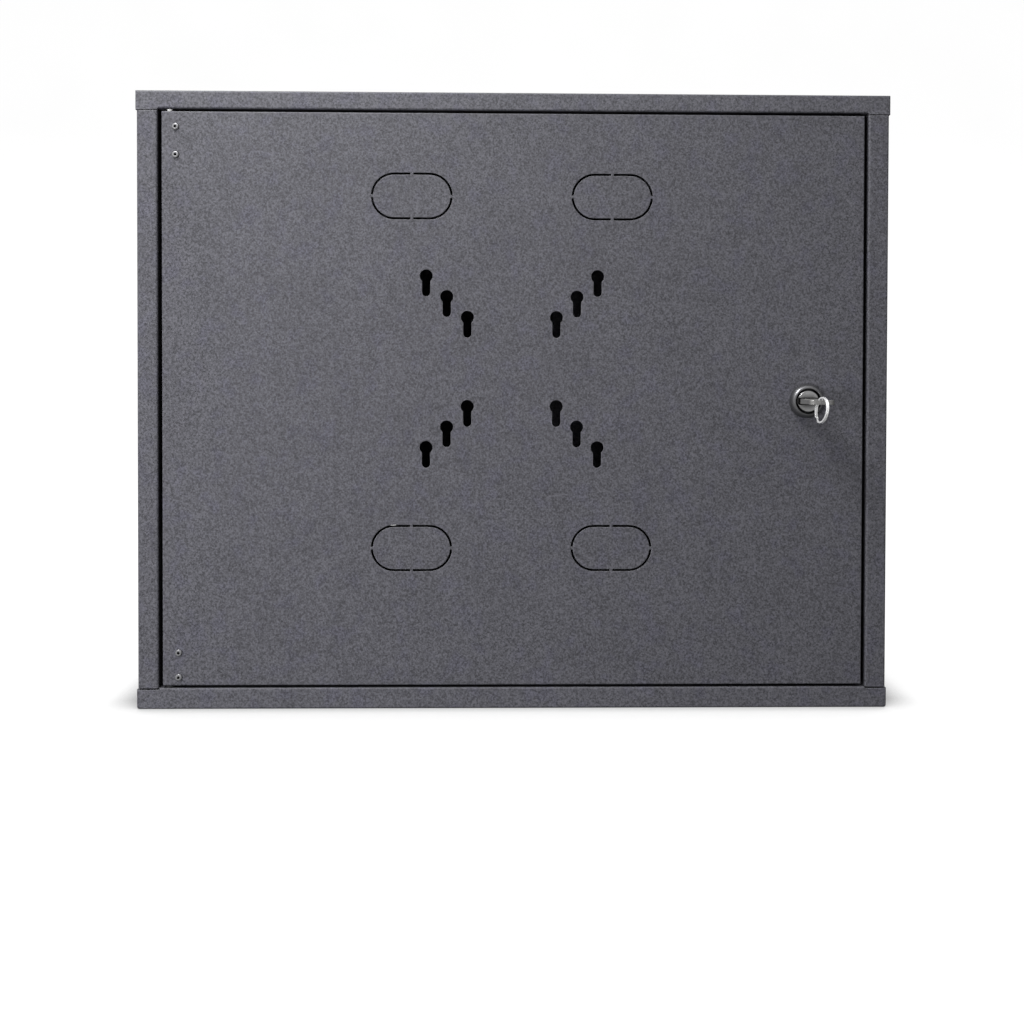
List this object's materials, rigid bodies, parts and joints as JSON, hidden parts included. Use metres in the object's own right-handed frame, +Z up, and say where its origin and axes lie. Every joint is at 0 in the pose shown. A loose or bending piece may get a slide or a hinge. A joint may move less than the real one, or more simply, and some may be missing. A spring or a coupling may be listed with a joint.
{
  "type": "lockable recorder cabinet",
  "caption": "Lockable wall cabinet of folded steel for a video recorder, with an inset hinged door, screen keyholes, cable knockouts, cam lock and key.",
  "frame": {"origin": "middle of the bottom cap's underside, at mid width and mid depth of the box", "axes": "+X to the right as seen facing the door, +Y from the door to the back, +Z up"},
  "size_m": [0.55, 0.1972, 0.45],
  "materials": {
    "body_wrap": "fine-textured dark grey powder coat",
    "top_cap": "fine-textured dark grey powder coat",
    "bottom_cap": "fine-textured dark grey powder coat",
    "device_shelf": "fine-textured dark grey powder coat",
    "shelf_studs": "bright zinc plate",
    "shelf_washers": "bright zinc plate",
    "shelf_nuts": "bright zinc plate",
    "body_earth_stud": "plain brass",
    "body_earth_washer": "bright zinc plate",
    "body_earth_nut": "plain brass",
    "hinge_washer": "natural nylon",
    "door_panel": "fine-textured dark grey powder coat",
    "upper_hinge_bracket": "bright zinc plate",
    "lower_hinge_bracket": "bright zinc plate",
    "hinge_rivets": "bright spring and pin steel",
    "lower_hinge_pin": "bright spring and pin steel",
    "lock_housing": "satin chrome on zinc die casting",
    "lock_washer": "bright zinc plate",
    "lock_nut": "bright zinc plate",
    "door_earth_stud": "plain brass",
    "door_earth_washer": "bright zinc plate",
    "door_earth_nut": "plain brass",
    "upper_hinge_pin": "bright spring and pin steel",
    "upper_hinge_spring": "bright spring and pin steel",
    "upper_pin_clip": "bright spring and pin steel",
    "lock_plug": "nickel-plated steel",
    "lock_wafers": "plain brass",
    "lock_cam": "bright zinc plate",
    "cam_washer": "bright zinc plate",
    "cam_screw": "bright zinc plate",
    "key": "nickel-plated steel",
    "key_ring": "nickel-plated steel"
  },
  "bodies": {
    "cabinet": {"body_wrap": "body_wrap", "top_cap": "top_cap", "bottom_cap": "bottom_cap", "device_shelf": "device_shelf", "shelf_studs": "shelf_studs", "shelf_washers": "shelf_washers", "shelf_nuts": "shelf_nuts", "body_earth_stud": "body_earth_stud", "body_earth_washer": "body_earth_washer", "body_earth_nut": "body_earth_nut", "hinge_washer": "hinge_washer"},
    "door": {"door_panel": "door_panel", "upper_hinge_bracket": "upper_hinge_bracket", "lower_hinge_bracket": "lower_hinge_bracket", "hinge_rivets": "hinge_rivets", "lower_hinge_pin": "lower_hinge_pin", "lock_housing": "lock_housing", "lock_washer": "lock_washer", "lock_nut": "lock_nut", "door_earth_stud": "door_earth_stud", "door_earth_washer": "door_earth_washer", "door_earth_nut": "door_earth_nut"},
    "upper_pin": {"upper_hinge_pin": "upper_hinge_pin", "upper_hinge_spring": "upper_hinge_spring", "upper_pin_clip": "upper_pin_clip"},
    "plug": {"lock_plug": "lock_plug", "lock_wafers": "lock_wafers", "lock_cam": "lock_cam", "cam_washer": "cam_washer", "cam_screw": "cam_screw"},
    "key": {"key": "key"},
    "ring": {"key_ring": "key_ring"}
  },
  "joints": [
    {"name": "door_hinge", "type": "hinge", "parent": "cabinet", "child": "door", "pos_m": [-0.2513, -0.07, 0.225], "axis": [0, 0, -1], "range_deg": [0, 105]},
    {"name": "upper_pin_slide", "type": "slide", "parent": "door", "child": "upper_pin", "axis": [0, 0, -1], "range_m": [0, 0.0071], "stiffness_N_per_m": 500, "springref_m": -0.006, "deforming": ["upper_hinge_spring"]},
    {"name": "lock_turn", "type": "hinge", "parent": "door", "child": "plug", "pos_m": [0.214, -0.075, 0.226], "axis": [0, 1, 0], "range_deg": [0, 90]},
    {"name": "key_slide", "type": "slide", "parent": "plug", "child": "key", "axis": [0, -1, 0], "range_m": [0, 0.025]},
    {"name": "ring_swing", "type": "hinge", "parent": "key", "child": "ring", "pos_m": [0.214, -0.113, 0.226], "axis": [-0.9829, -0.1392, 0.1207], "range_deg": [-3, 90]}
  ]
}
